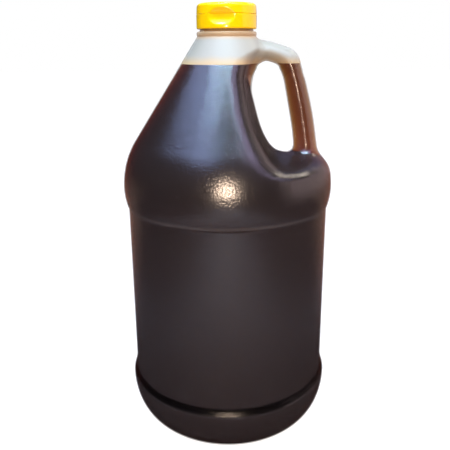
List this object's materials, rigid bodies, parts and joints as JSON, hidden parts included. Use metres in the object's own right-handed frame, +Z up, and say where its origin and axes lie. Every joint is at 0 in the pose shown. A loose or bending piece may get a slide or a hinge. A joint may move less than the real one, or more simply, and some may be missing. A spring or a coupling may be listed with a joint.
{
  "type": "jug of honey",
  "caption": "Round handled plastic gallon jug filled with dark amber honey, translucent blow-moulded wall with a hollow side grip, and a yellow screw cap with a hinged flip lid.",
  "frame": {"origin": "centre of the standing face, at its height", "axes": "+Z up along the jug's axis, +X towards the grip, the camera of the picture looks along +Y"},
  "size_m": [0.152, 0.152, 0.3069],
  "materials": {
    "jug_wall": "satin, milky and see-through, natural polyethylene",
    "honey": "clear dark amber liquid",
    "cap_yellow": "glossy moulded"
  },
  "bodies": {
    "jug_body": {"jug": "jug_wall", "honey": "honey", "cap": "cap_yellow"},
    "flip_lid": {"lid": "cap_yellow"}
  },
  "joints": [
    {"name": "lid_hinge", "type": "hinge", "parent": "jug_body", "child": "flip_lid", "pos_m": [0.00365, 0.02068, 0.29945], "axis": [-0.9848, 0.1736, 0], "range_deg": [0, 130]}
  ]
}
